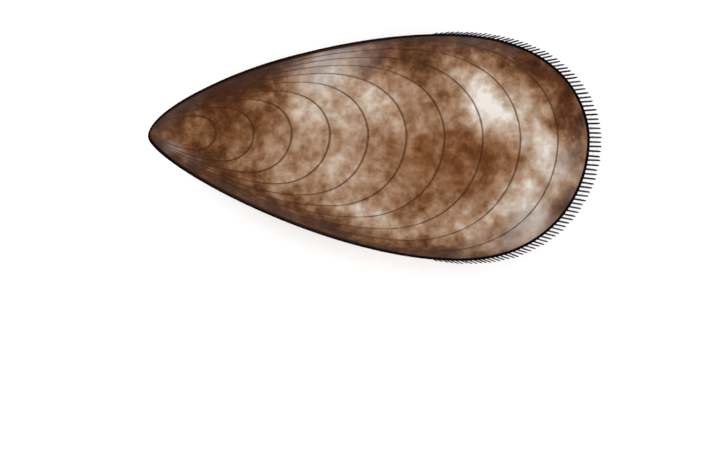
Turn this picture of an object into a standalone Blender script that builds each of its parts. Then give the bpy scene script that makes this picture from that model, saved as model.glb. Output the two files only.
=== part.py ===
"""A closed mussel shell lying on its right valve, in metres, +Z up.

The shell is modelled about the apex of its umbo, the pointed end where growth began: X runs to the
posterior end, Y to the dorsal edge, Z to the left valve, and Z = 0 is the seam between the valves.
An empty then sets the whole shell down, with its lowest point at the origin's height.
"""

import math

import bmesh
import bpy
import numpy as np

# The four extreme points of the shell's outline, seen from the side, and how far the curve through
# each one keeps its direction, before it and after it (Bezier handle lengths)
UMBO_TIP = (-0.00048, -0.0010)
UMBO_REACH = (0.0042, 0.0062)
DORSAL_CREST = (0.0499, 0.0164)
DORSAL_REACH = (0.02365, 0.0216)
POSTERIOR_END = (0.0745, -0.00145)
POSTERIOR_REACH = (0.00425, 0.0095)
VENTRAL_LOW = (0.0526, -0.0221)
VENTRAL_REACH = (0.0151, 0.0231)

# How each valve is inflated: its rise, the powers that blunt its arch and shift its peak towards
# the umbo, and the thickness of the umbo's nose, as the age that the arch starts at. The planes of
# all the growth rings share one line on the seam, just ahead of the apex and a little slanted.
VALVE_RISE = 0.0133
RISE_POWER = 0.8
PEAK_SHIFT = 1.12
NOSE_AGE = 0.012
SHARED_LINE_AHEAD = 0.0012
SHARED_LINE_SLANT = 0.20

# Growth lines, measured along the shell from the apex, and the small ledge at each one
FIRST_GROWTH_LINE = 0.01112
GROWTH_STEP = 0.00644
GROWTH_LINES = 10
LEDGE_DROP = 0.00022
LEDGE_WIDTH = 0.00045
LEDGE_FADE_POWER = 1.5

# The hollow is the valve's own form, drawn in towards a point on the seam
HOLLOW_CENTRE = (0.0400, -0.0020)
HOLLOW_SHARE = (0.94, 0.92, 0.90)
HOLLOW_OVERRUN = 0.0010
SEAM_HALF_GAP = 0.00015
LIP_THICKNESS = 0.00015

# The ligament, an elastic strip in a groove along the dorsal edge
LIGAMENT_START = 0.0035
LIGAMENT_END = 0.0330
LIGAMENT_RADIUS = 0.00050
LIGAMENT_END_RADIUS = 0.00022
LIGAMENT_INSET = 0.00025
LIGAMENT_CLEARANCE = 0.00030
LIGAMENT_POINTS = 18

# The bristles that fringe the posterior half, as one comb on each valve. They point to the rear,
# fanned a little, and each turns with a share of its margin's own direction.
BRISTLE_FROM = 0.0484
BRISTLE_PITCH = 0.00077
BRISTLE_LENGTH = 0.00190
BRISTLE_ROOT_WIDTH = 0.00050
BRISTLE_TURN = 0.28
BRISTLE_DROOP = math.radians(-3.0)
COMB_CLEARANCE = 0.00030
COMB_BAND = 0.00030
COMB_THICKNESS = 0.00050
COMB_HEIGHT = 0.00045

# Mesh fineness: points on each quarter of the outline, from the umbo round the dorsal edge
QUARTERS = (15, 12, 12, 15)
HOLLOW_QUARTERS = (8, 6, 6, 8)
HOLLOW_AGES = (1.0, 0.95, 0.86, 0.74, 0.6, 0.46, 0.33, 0.21, 0.12, 0.05)
FINE_STEPS = 400
TUBE_RESOLUTION = 2

VALVE_COLOUR = (0.235, 0.125, 0.070, 1.0)
LIGAMENT_COLOUR = (0.022, 0.012, 0.009, 1.0)
BRISTLE_COLOUR = (0.030, 0.030, 0.038, 1.0)


def clear_scene():
    for obj in list(bpy.data.objects):
        bpy.data.objects.remove(obj)


def new_collection(name):
    collection = bpy.data.collections.new(name)
    bpy.context.scene.collection.children.link(collection)
    return collection


def material(name, colour, roughness):
    made = bpy.data.materials.new(name)
    made.use_nodes = True
    shader = made.node_tree.nodes["Principled BSDF"]
    shader.inputs["Base Color"].default_value = colour
    shader.inputs["Roughness"].default_value = roughness
    shader.inputs["Metallic"].default_value = 0.0
    return made


# Outline


def bezier(start, leave, arrive, end, shares):
    """Points on a cubic Bezier curve at these shares of its way."""
    t = np.asarray(shares, float)[:, None]
    corners = [np.array(point, float) for point in (start, leave, arrive, end)]
    weights = [(1 - t) ** 3, 3 * (1 - t) ** 2 * t, 3 * (1 - t) * t**2, t**3]
    return sum(weight * corner for weight, corner in zip(weights, corners))


def outline(quarters):
    """The closed outline, clockwise seen from above: umbo, dorsal crest, posterior end, ventral low."""
    tip, crest, end, low = UMBO_TIP, DORSAL_CREST, POSTERIOR_END, VENTRAL_LOW
    curves = (
        (tip, (tip[0], tip[1] + UMBO_REACH[1]), (crest[0] - DORSAL_REACH[0], crest[1]), crest),
        (crest, (crest[0] + DORSAL_REACH[1], crest[1]), (end[0], end[1] + POSTERIOR_REACH[0]), end),
        (end, (end[0], end[1] - POSTERIOR_REACH[1]), (low[0] + VENTRAL_REACH[0], low[1]), low),
        (low, (low[0] - VENTRAL_REACH[1], low[1]), (tip[0], tip[1] - UMBO_REACH[0]), tip),
    )
    parts = [bezier(*curve, np.arange(count) / count) for curve, count in zip(curves, quarters)]
    return np.vstack(parts)


def outward(points):
    """Unit normals in the plane, pointing out of a clockwise run of points."""
    along = np.gradient(points, axis=0)
    across = np.column_stack([-along[:, 1], along[:, 0]])
    return across / np.linalg.norm(across, axis=1)[:, None]


def evenly_spaced(points, spacing):
    """Points at equal distances along a run, and the unit normals there."""
    lengths = np.r_[0.0, np.cumsum(np.linalg.norm(np.diff(points, axis=0), axis=1))]
    marks = np.linspace(0.0, lengths[-1], round(lengths[-1] / spacing) + 1)
    normals = outward(points)
    place = [np.interp(marks, lengths, points[:, axis]) for axis in (0, 1)]
    facing = [np.interp(marks, lengths, normals[:, axis]) for axis in (0, 1)]
    return np.column_stack(place), np.column_stack(facing)


# Form of a valve


def ridge_rise(ages):
    """Height of the valve over the seam along its ridge: a sine arch, blunt at the umbo."""
    arch = ((ages + NOSE_AGE) / (1 + NOSE_AGE)) ** PEAK_SHIFT
    return VALVE_RISE * np.sin(np.pi * np.clip(arch, 0.0, 1.0)) ** RISE_POWER


def dome(edge, ages):
    """Rings of points on a smooth valve. A ring of age s is the edge at s times its size about the
    apex, in a plane that turns up about the shared line until the ring's far end meets the ridge."""
    ages = np.asarray(ages, float)[:, None]
    far_end = edge[np.argmax(edge[:, 0])]

    def behind_line(x, y):
        return x + SHARED_LINE_AHEAD - SHARED_LINE_SLANT * y

    x, y = ages * edge[:, 0], ages * edge[:, 1]
    slope = ridge_rise(ages) / behind_line(ages * far_end[0], ages * far_end[1])
    return np.stack([x, y, behind_line(x, y) * slope], axis=-1)


def ledge_rings():
    """Ages of the rings from the margin in, and how far the surface drops at each one. At a growth
    line the older shell ends in a lip, and the younger shell starts a little lower just outside it."""
    ages, drops = [1.0], [0.0]
    for line in reversed(range(GROWTH_LINES)):
        lip = FIRST_GROWTH_LINE + GROWTH_STEP * line
        ages += [(lip + LEDGE_WIDTH) / POSTERIOR_END[0], lip / POSTERIOR_END[0]]
        drops += [LEDGE_DROP, 0.0]
    young = ages[-1]
    return np.array(ages + [young * 0.5, young * 0.2]), np.array(drops + [0.0, 0.0])


def ledged_dome(edge):
    """The dome with its ledges, which fade along the sides towards the umbo."""
    ages, drops = ledge_rings()
    points = dome(edge, ages)
    around = np.roll(points, -1, axis=1) - np.roll(points, 1, axis=1)
    inward = np.gradient(points, axis=0)
    normals = np.cross(inward, around)
    normals /= np.linalg.norm(normals, axis=2)[:, :, None]
    normals *= np.sign(normals[:, :, 2:3])
    strength = np.clip(edge[:, 0] / POSTERIOR_END[0], 0.0, 1.0) ** LEDGE_FADE_POWER
    return points - normals * (drops[:, None] * strength[None, :])[:, :, None]


def loft(name, rings, apex, base_height, collection):
    """A closed solid over the rings: bands between neighbours, a fan at the apex and a flat base."""
    shape = bmesh.new()
    base = [(x, y, base_height) for x, y, _ in rings[0]]
    loops = [[shape.verts.new(point) for point in ring] for ring in [base, *rings.tolist()]]
    top = shape.verts.new(apex)
    shape.faces.new(loops[0])
    for lower, upper in zip(loops, loops[1:]):
        for i in range(len(lower)):
            shape.faces.new((lower[i - 1], lower[i], upper[i], upper[i - 1]))
    last = loops[-1]
    for i in range(len(last)):
        shape.faces.new((last[i - 1], last[i], top))
    bmesh.ops.recalc_face_normals(shape, faces=shape.faces)
    mesh = bpy.data.meshes.new(name)
    shape.to_mesh(mesh)
    shape.free()
    obj = bpy.data.objects.new(name, mesh)
    collection.objects.link(obj)
    return obj


def as_helper(obj):
    obj.hide_render = True
    obj.display_type = "WIRE"
    return obj


def cut(obj, cutter):
    boolean = obj.modifiers.new("cut_" + cutter.name, "BOOLEAN")
    boolean.operation = "DIFFERENCE"
    boolean.object = cutter


def on_side(points, side):
    """Points mirrored to the left valve's side (1) or the right valve's (-1) of the seam."""
    return points * np.array([1.0, 1.0, side])


def valve_outer():
    """Rings and apex of the left valve's outside, its margin half a gap off the seam."""
    edge = outline(QUARTERS)
    lift = np.array([0.0, 0.0, SEAM_HALF_GAP])
    rings = ledged_dome(edge) + lift
    rings[0, :, 2] += LIP_THICKNESS
    apex = dome(edge, [0.0])[0].mean(axis=0) + lift
    return rings, apex


def valve_hollow():
    """Rings and apex of the hollow: the dome shrunk about a point on the seam."""
    edge = outline(HOLLOW_QUARTERS)
    centre = np.array([*HOLLOW_CENTRE, 0.0])
    share = np.array(HOLLOW_SHARE)
    rings = centre + (dome(edge, HOLLOW_AGES) - centre) * share
    apex = centre + (dome(edge, [0.0])[0].mean(axis=0) - centre) * share
    return rings, apex


def add_valve(name, side, shell, cutters, groove, finish):
    rings, apex = valve_outer()
    seam = side * SEAM_HALF_GAP
    valve = loft(name, on_side(rings, side), on_side(apex, side), seam, shell)
    rings, apex = valve_hollow()
    past_seam = -side * HOLLOW_OVERRUN
    hollow = loft(name + "_hollow", on_side(rings, side), on_side(apex, side), past_seam, cutters)
    for cutter in (as_helper(hollow), groove):
        cut(valve, cutter)
    valve.data.materials.append(finish)
    valve.data.shade_smooth()
    valve.data.set_sharp_from_angle(angle=math.radians(35))
    return valve


# Ligament


def ligament_path(clearance):
    """The dorsal edge behind the umbo, a little inside the outline."""
    dorsal = outline((FINE_STEPS, 1, 1, 1))[:FINE_STEPS]
    inside = dorsal - outward(dorsal) * LIGAMENT_INSET
    xs = np.linspace(LIGAMENT_START - clearance, LIGAMENT_END + clearance, LIGAMENT_POINTS)
    return np.column_stack([xs, np.interp(xs, inside[:, 0], inside[:, 1])])


def tapered_tube(name, clearance, collection):
    """A round tube along the ligament's path, thinner at both ends, and wider by the clearance."""
    curve = bpy.data.curves.new(name, "CURVE")
    curve.dimensions = "3D"
    curve.bevel_depth = LIGAMENT_RADIUS
    curve.bevel_resolution = TUBE_RESOLUTION
    curve.use_fill_caps = True
    path = ligament_path(clearance)
    spline = curve.splines.new("POLY")
    spline.points.add(len(path) - 1)
    for i, (x, y) in enumerate(path):
        middle = math.sin(math.pi * i / (len(path) - 1))
        radius = LIGAMENT_END_RADIUS + (LIGAMENT_RADIUS - LIGAMENT_END_RADIUS) * middle
        spline.points[i].co = (x, y, 0.0, 1.0)
        spline.points[i].radius = (radius + clearance) / LIGAMENT_RADIUS
    obj = bpy.data.objects.new(name, curve)
    collection.objects.link(obj)
    return obj


def meshed(curve_object, collection):
    """A mesh object made from a curve object, with its caps welded. The curve is removed."""
    bpy.context.view_layer.update()
    graph = bpy.context.evaluated_depsgraph_get()
    mesh = bpy.data.meshes.new_from_object(curve_object.evaluated_get(graph))
    shape = bmesh.new()
    shape.from_mesh(mesh)
    bmesh.ops.remove_doubles(shape, verts=shape.verts, dist=1e-6)
    bmesh.ops.recalc_face_normals(shape, faces=shape.faces)
    shape.to_mesh(mesh)
    shape.free()
    name, matrix = curve_object.name, curve_object.matrix_world.copy()
    bpy.data.objects.remove(curve_object)
    obj = bpy.data.objects.new(name, mesh)
    obj.matrix_world = matrix
    collection.objects.link(obj)
    return obj


def add_ligament(shell, finish):
    ligament = meshed(tapered_tube("ligament", 0.0, shell), shell)
    ligament.data.materials.append(finish)
    ligament.data.shade_smooth()
    return ligament


def add_groove(cutters):
    """The cutter for the groove that the ligament lies in, clear of it all round."""
    groove = meshed(tapered_tube("ligament_groove", LIGAMENT_CLEARANCE, cutters), cutters)
    return as_helper(groove)


# Bristle combs


def bristled_edge():
    """The fringed part of the outline, from the dorsal side round the posterior end."""
    fine = outline((FINE_STEPS,) * 4)
    behind = fine[:, 0] >= BRISTLE_FROM
    return fine[behind]


def comb_outline():
    """A closed flat outline: the band's inner edge, then back along the teeth to the start."""
    roots, facing = evenly_spaced(bristled_edge(), BRISTLE_PITCH)
    inner = roots + facing * COMB_CLEARANCE
    outer = roots + facing * (COMB_CLEARANCE + COMB_BAND)
    along = np.column_stack([facing[:, 1], -facing[:, 0]])
    angle = BRISTLE_DROOP + BRISTLE_TURN * np.arctan2(facing[:, 1], facing[:, 0])
    tips = roots + np.column_stack([np.cos(angle), np.sin(angle)]) * BRISTLE_LENGTH
    # A swept tip may lie inside the band near the comb's ends, so it keeps a least distance out
    reach = ((tips - roots) * facing).sum(axis=1)
    least = COMB_CLEARANCE + 2 * COMB_BAND
    tips += facing * np.clip(least - reach, 0.0, None)[:, None]
    half = BRISTLE_ROOT_WIDTH / 2
    teeth = np.stack([outer - along * half, tips, outer + along * half], axis=1)
    return np.vstack([inner[::3], inner[-1:], teeth.reshape(-1, 2)[::-1]])


def add_comb(name, side, shell, finish):
    curve = bpy.data.curves.new(name, "CURVE")
    curve.dimensions = "2D"
    curve.fill_mode = "BOTH"
    curve.extrude = COMB_THICKNESS / 2
    points = comb_outline()
    spline = curve.splines.new("POLY")
    spline.points.add(len(points) - 1)
    for i, (x, y) in enumerate(points):
        spline.points[i].co = (x, y, 0.0, 1.0)
    spline.use_cyclic_u = True
    comb = bpy.data.objects.new(name, curve)
    shell.objects.link(comb)
    comb.location.z = side * COMB_HEIGHT
    curve.materials.append(finish)
    return comb


def set_down(pieces):
    """Parents every piece to an empty, placed so that the whole lies on Z = 0 about the origin."""
    rings, _ = valve_outer()
    flat = np.vstack([rings[0, :, :2], comb_outline()])
    middle = (flat.min(axis=0) + flat.max(axis=0)) / 2
    frame = bpy.data.objects.new("shell_frame", None)
    bpy.context.scene.collection.objects.link(frame)
    frame.location = (-middle[0], -middle[1], rings[:, :, 2].max())
    for piece in pieces:
        piece.parent = frame


def main():
    clear_scene()
    shell = new_collection("mussel_shell")
    cutters = new_collection("cutters")
    valve_finish = material("shell_brown", VALVE_COLOUR, 0.45)
    ligament_finish = material("ligament_dark", LIGAMENT_COLOUR, 0.5)
    bristle_finish = material("bristle_black", BRISTLE_COLOUR, 0.6)
    groove = add_groove(cutters)
    pieces = [groove, add_ligament(shell, ligament_finish)]
    for name, side in (("left", 1), ("right", -1)):
        pieces.append(add_valve(name + "_valve", side, shell, cutters, groove, valve_finish))
        pieces.append(add_comb(name + "_bristles", side, shell, bristle_finish))
    pieces += [obj for obj in cutters.objects if obj is not groove]
    set_down(pieces)


main()
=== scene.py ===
# %% [markdown]
# # A bearded mussel shell, looked down on
#
# A mussel's shell is two chalky valves that grew only at their edges, a little each season, so every
# old edge is a smaller copy of the outline, and all the copies start from the pointed umbo. A dark
# horny skin covers the chalk, rubbed pale where the shell is worn, and stiff bristles of the same
# horn fringe the rounded end. We load the solid model as a fixed frame, work out fine surfaces that
# follow the same growth rule, and paint them by growth line, wear and skin, with painted shade
# along the flanks.

import math

import bpy
import numpy as np
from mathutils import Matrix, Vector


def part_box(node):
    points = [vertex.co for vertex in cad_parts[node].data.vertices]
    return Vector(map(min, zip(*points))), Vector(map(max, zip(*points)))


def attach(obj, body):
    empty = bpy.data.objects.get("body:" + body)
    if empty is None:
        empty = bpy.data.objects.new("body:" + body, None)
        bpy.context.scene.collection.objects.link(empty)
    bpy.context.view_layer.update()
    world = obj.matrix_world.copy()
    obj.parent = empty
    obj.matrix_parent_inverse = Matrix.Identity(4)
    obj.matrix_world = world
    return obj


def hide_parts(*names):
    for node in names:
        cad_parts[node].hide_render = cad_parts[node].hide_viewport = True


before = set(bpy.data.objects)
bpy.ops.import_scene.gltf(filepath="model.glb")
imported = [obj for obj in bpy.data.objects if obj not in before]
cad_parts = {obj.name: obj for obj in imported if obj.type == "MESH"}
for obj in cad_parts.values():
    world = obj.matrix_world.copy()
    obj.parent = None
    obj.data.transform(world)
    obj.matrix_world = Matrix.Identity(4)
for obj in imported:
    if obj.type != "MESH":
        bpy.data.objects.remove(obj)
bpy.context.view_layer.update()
print("frame loaded:", ", ".join(sorted(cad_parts)))

# %% [markdown]
# ## Where the shell is
#
# The shapes below are written about the apex of the umbo, in millimetres: X to the rounded end, Y to
# the dorsal edge, Z out of the left valve, and Z = 0 at the seam. The outline's four extreme points
# are known, so the frame's boxes tell us where that apex lies. Nothing is fitted by eye.

# %% The outline's extreme points, and the apex in the frame
MM = 0.001
UMBO_TIP = (-0.48, -1.0)
DORSAL_CREST = (49.9, 16.4)
POSTERIOR_END = (74.5, -1.45)
VENTRAL_LOW = (52.6, -22.1)

left_low, left_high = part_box("left_valve")
right_low, right_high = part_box("right_valve")
APEX = np.array([
    left_low.x - UMBO_TIP[0] * MM,
    left_high.y - DORSAL_CREST[1] * MM,
    (left_low.z + right_high.z) / 2,
])
print("apex of the umbo at", np.round(APEX / MM, 2), "mm")

# %% [markdown]
# ## One way to make every piece
#
# Everything on this shell is a closed skin: a stack of rings with a point at each end. A valve is one
# big stack, folded back on itself at its edge, and a bristle is a very small one. So one function
# takes rings as arrays and joins them to one mesh. Subdivision or sculpting could make the valves
# too, but an exact grid lets each vertex remember how old its bit of shell is, which the paint needs.


# %% Closed skins from arrays of rings
def enclosed_volume(mesh):
    """Volume in mm3 by the divergence rule: each triangle's corner product over six, summed. It is
    above zero only where the faces point outwards."""
    mesh.calc_loop_triangles()
    points = np.empty(len(mesh.vertices) * 3)
    mesh.vertices.foreach_get("co", points)
    corners = np.empty(len(mesh.loop_triangles) * 3, int)
    mesh.loop_triangles.foreach_get("vertices", corners)
    a, b, c = np.moveaxis(points.reshape(-1, 3)[corners.reshape(-1, 3)] / MM, 1, 0)
    return np.einsum("ij,ij->", a, np.cross(b, c)) / 6


def closed_skins(name, rings, poles):
    """Mesh of closed skins. rings[skin, row, column] and poles[skin, end] are points in mm about the
    apex. Each row joins the next, and the first and last rows close on the two poles."""
    skins, rows, columns, _ = rings.shape
    here = np.arange(rows * columns).reshape(rows, columns)
    beside = np.roll(here, -1, axis=1)
    first, last = rows * columns, rows * columns + 1
    bands = np.stack([here[:-1], beside[:-1], beside[1:], here[1:]], axis=-1).reshape(-1, 4)
    opening = np.stack([np.full(columns, first), beside[0], here[0]], axis=-1)
    closing = np.stack([np.full(columns, last), here[-1], beside[-1]], axis=-1)
    points = np.concatenate([rings.reshape(skins, -1, 3), poles], axis=1)
    steps = np.arange(skins)[:, None, None] * (rows * columns + 2)
    quads = (bands[None] + steps).reshape(-1, 4)
    fans = (np.vstack([opening, closing])[None] + steps).reshape(-1, 3)
    mesh = bpy.data.meshes.new(name)
    corners = (points.reshape(-1, 3) * MM + APEX).tolist()
    mesh.from_pydata(corners, [], quads.tolist() + fans.tolist())
    mesh.shade_smooth()
    piece = bpy.data.objects.new(name, mesh)
    bpy.context.scene.collection.objects.link(piece)
    print(f"{name}: {len(mesh.vertices)} vertices, {enclosed_volume(mesh):.1f} mm3")
    return piece


def remember(piece, name, values):
    """Stores one number a vertex on the mesh, for the materials to read."""
    store = piece.data.attributes.new(name, "FLOAT", "POINT")
    store.data.foreach_set("value", np.asarray(values, np.float32).ravel())


# %% [markdown]
# ## The outline
#
# Seen from the side, the shell is a wedge: pointed at the umbo, nearly straight along the flanks and
# round behind. Four Bezier curves through the extreme points follow it to a third of a pixel. We
# also need each margin point's outward direction and its reach, which is how far the margin's
# tangent line lies from the apex. Rings of the same shape about the apex lie their difference in
# age times the reach apart, and that turns ages into real distances for every line drawn later.

# %% The outline, evenly spaced, with its normals and reach
UMBO_HANDLES = (4.2, 6.2)
DORSAL_HANDLES = (23.65, 21.6)
POSTERIOR_HANDLES = (4.25, 9.5)
VENTRAL_HANDLES = (15.1, 23.1)
CURVE_STEPS = 500


def bezier(start, leave, arrive, end):
    """Cubic Bezier curve: the corners weighted by the terms of ((1 - t) + t) cubed."""
    t = np.linspace(0, 1, CURVE_STEPS, endpoint=False)[:, None]
    weights = ((1 - t) ** 3, 3 * (1 - t) ** 2 * t, 3 * (1 - t) * t**2, t**3)
    return sum(w * np.array(c, float) for w, c in zip(weights, (start, leave, arrive, end)))


def outline(count):
    """Margin points in order from the umbo round the dorsal edge, equal lengths apart, with their
    outward unit normals, reach and length along the margin from the umbo."""
    (tx, ty), (cx, cy), (ex, ey), (lx, ly) = UMBO_TIP, DORSAL_CREST, POSTERIOR_END, VENTRAL_LOW
    fine = np.vstack([
        bezier((tx, ty), (tx, ty + UMBO_HANDLES[1]), (cx - DORSAL_HANDLES[0], cy), (cx, cy)),
        bezier((cx, cy), (cx + DORSAL_HANDLES[1], cy), (ex, ey + POSTERIOR_HANDLES[0]), (ex, ey)),
        bezier((ex, ey), (ex, ey - POSTERIOR_HANDLES[1]), (lx + VENTRAL_HANDLES[0], ly), (lx, ly)),
        bezier((lx, ly), (lx - VENTRAL_HANDLES[1], ly), (tx, ty - UMBO_HANDLES[0]), (tx, ty)),
    ])
    fine = np.vstack([fine, fine[:1]])
    lengths = np.r_[0, np.cumsum(np.linalg.norm(np.diff(fine, axis=0), axis=1))]
    along = np.linspace(0, lengths[-1], count, endpoint=False)
    points = np.column_stack([np.interp(along, lengths, fine[:, axis]) for axis in (0, 1)])
    tangent = np.roll(points, -1, axis=0) - np.roll(points, 1, axis=0)
    normals = np.column_stack([-tangent[:, 1], tangent[:, 0]])
    normals /= np.linalg.norm(normals, axis=1)[:, None]
    return points, normals, (points * normals).sum(axis=1), along


COLUMNS = 360
margin, margin_normal, margin_reach, margin_length = outline(COLUMNS)
print(f"margin: {margin_length[-1] + margin_length[1]:.1f} mm round")

# %% [markdown]
# ## The form of a valve
#
# A real valve follows a spiral: each ring of growth is the last one, a little larger and turned a
# little further about the hinge. The same rule makes ours. The ring of age s is the outline at s
# times its size, in a plane turned up about one shared line just ahead of the apex, and a sine arch
# says how high its far end stands. The steep flanks and the blunt beak follow from that.

# %% The smooth dome
VALVE_RISE = 13.3
RISE_POWER = 0.8
PEAK_SHIFT = 1.12
NOSE_AGE = 0.012
SHARED_LINE_AHEAD = 1.2
SHARED_LINE_SLANT = 0.20


def dome(ages):
    """Points [age, column]: plan = age x outline; height = distance behind the shared line x slope,
    where the slope takes the ring's far end to rise x sin(pi x shifted age) ^ power."""
    s = np.asarray(ages, float)[:, None]
    x, y = s * margin[:, 0], s * margin[:, 1]
    arch = np.clip(((s + NOSE_AGE) / (1 + NOSE_AGE)) ** PEAK_SHIFT, 0, 1)
    ridge = VALVE_RISE * np.sin(np.pi * arch) ** RISE_POWER

    def behind(px, py):
        return px + SHARED_LINE_AHEAD - SHARED_LINE_SLANT * py

    slope = ridge / behind(s * POSTERIOR_END[0], s * POSTERIOR_END[1])
    return np.stack([x, y, behind(x, y) * slope], axis=-1)


print(f"dome: {dome(np.linspace(0, 1, 200))[..., 2].max():.1f} mm high")

# %% [markdown]
# ## Growth relief
#
# Every winter the shell stops growing and leaves a ledge; the young shell starts a little lower just
# outside it. Between ledges there are fine ridges, and the whole surface is never quite true. A
# displacement modifier could add such relief, but worked out here it follows the rings exactly. It
# is measured in growth steps, and it fades where the rings crowd together along the flanks.

# %% Growth lines as ages, and the sizes of the relief
FIRST_LINE = 11.12 / POSTERIOR_END[0]
LINE_STEP = 6.44 / POSTERIOR_END[0]
GROWTH_LINES = 10
LEDGE_DROP = 0.20
LEDGE_EDGE = 0.06
RIDGES_PER_STEP = (5.0, 8.0, 13.0)
RIDGE_HEIGHTS = (0.030, 0.022, 0.012)
RIDGE_WOBBLE = 0.5
WOBBLE_LENGTH = 9.0
SWELL_HEIGHT = 0.10
SWELL_LENGTH = 24.0
CROWDED, OPEN = 0.15, 2.2
RELIEF_EDGE = (0.15, 2.6)
SMOOTH_BEAK = (0.02, 0.12)
print(f"{GROWTH_LINES} growth lines, {LINE_STEP * POSTERIOR_END[0]:.2f} mm apart on the ridge")


# %% Soft random fields and the relief
SWELL_WAVES = 14
SHORTEST_WAVE = 0.25
WAVE_PEAKS = 1.6


def smooth_step(low, high, values):
    """0 below low, 1 above high, and 3t^2 - 2t^3 between."""
    t = np.clip((values - low) / (high - low), 0, 1)
    return t * t * (3 - 2 * t)


def swell(points, longest, seed):
    """Soft random field near -1 to 1: cosine waves in random directions, shorter ones weaker."""
    draw = np.random.default_rng(seed)
    lengths = longest * draw.uniform(SHORTEST_WAVE, 1.0, SWELL_WAVES)
    turn = draw.uniform(0, 2 * np.pi, SWELL_WAVES)
    phase = draw.uniform(0, 2 * np.pi, SWELL_WAVES)
    weight = lengths / np.sqrt((lengths**2).sum() / 2)
    waves_at = (points[..., 0, None] * np.cos(turn) + points[..., 1, None] * np.sin(turn)) / lengths
    return (np.cos(2 * np.pi * waves_at + phase) * weight).sum(axis=-1) / WAVE_PEAKS


def relief(ages, points, seed):
    """Height in mm along the normal: a ledge that drops at each line and grows back by the next,
    fine concentric ridges with a slow wobble, and a gentle swell."""
    age = np.asarray(ages)[:, None]
    phase = (age - FIRST_LINE) / LINE_STEP
    since = phase - np.floor(phase)
    ledge = -LEDGE_DROP * smooth_step(0, LEDGE_EDGE, since) * (1 - since)
    ledge = np.where((phase > 0) & (phase < GROWTH_LINES), ledge, 0)
    wobble = RIDGE_WOBBLE * swell(points, WOBBLE_LENGTH, seed)
    ridges = sum(
        height * np.sin(2 * np.pi * (phase * per_step + wobble))
        for per_step, height in zip(RIDGES_PER_STEP, RIDGE_HEIGHTS)
    )
    room = smooth_step(CROWDED, OPEN, LINE_STEP * margin_reach[None, :])
    start = smooth_step(*SMOOTH_BEAK, age)
    end = smooth_step(*RELIEF_EDGE, (1 - age) * margin_reach[None, :])
    broad = SWELL_HEIGHT * swell(points, SWELL_LENGTH, seed + 1)
    return ((ledge + ridges) * room + broad * start) * end * start


# %% [markdown]
# ## A whole valve, outside and inside
#
# The grid runs from the beak out to the margin, round a lip half a millimetre thick, and back along
# the hollow to a second pole. Rows gather at each growth line, where the surface bends most, and at
# the steep edge. Solidify could thicken an open dome, but a lip made row by row keeps its rolled
# form. Along the dorsal edge the lip is lifted to leave a groove for the ligament.

# %% The rows of a valve
OUTER_ROWS = 130
FIRST_AGE = 0.006
LINE_ROWS = np.array([-0.12, -0.04, 0.0, 0.02, 0.05, 0.09, 0.16])
EDGE_ROWS = 1 - np.geomspace(0.0015, 0.15, 24)
LEAST_AGE_STEP = 0.0008
HOLLOW_ROWS = 40

lines_at = FIRST_LINE + LINE_STEP * np.arange(GROWTH_LINES)
outer_ages = np.unique(np.concatenate([
    np.linspace(FIRST_AGE, 1.0, OUTER_ROWS),
    (lines_at[:, None] + LINE_ROWS * LINE_STEP).ravel(),
    EDGE_ROWS,
]))
outer_ages = outer_ages[np.r_[True, np.diff(outer_ages) > LEAST_AGE_STEP]]
outer_ages[-1] = 1.0
inner_ages = np.linspace(0.975, 0.03, HOLLOW_ROWS)
print("rows on each valve:", len(outer_ages), "outside,", HOLLOW_ROWS, "inside")

# %% The ligament's place along the margin, which the lip leaves free
LIGAMENT_START = 3.5
LIGAMENT_END = 33.0
LIGAMENT_HALF_HEIGHT = 0.48
LIGAMENT_FULLNESS = 0.6
GROOVE_FADE = 0.7


def ligament_share(x):
    """0 off the ligament, rising as a power of a half sine from its ends to 1 at its middle."""
    t = np.clip((x - LIGAMENT_START) / (LIGAMENT_END - LIGAMENT_START), 0, 1)
    return np.sin(np.pi * t) ** LIGAMENT_FULLNESS


groove = LIGAMENT_HALF_HEIGHT * np.where(margin[:, 1] > 0, ligament_share(margin[:, 0]), 0)
print(f"groove: {groove.max():.2f} mm deep in each lip")

# %% Outside, lip and hollow, joined row to row
SEAM_HALF_GAP = 0.015
LIP_INSET = np.array([0.00, -0.02, 0.02, 0.12, 0.26, 0.38, 0.45])
LIP_HEIGHT = np.array([0.42, 0.28, 0.13, 0.02, 0.00, 0.05, 0.20])
LIP_FADE = 6.0
HOLLOW_CENTRE = np.array([40.0, -2.0, 0.0])
HOLLOW_SHARE = np.array([0.94, 0.92, 0.90])


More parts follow.
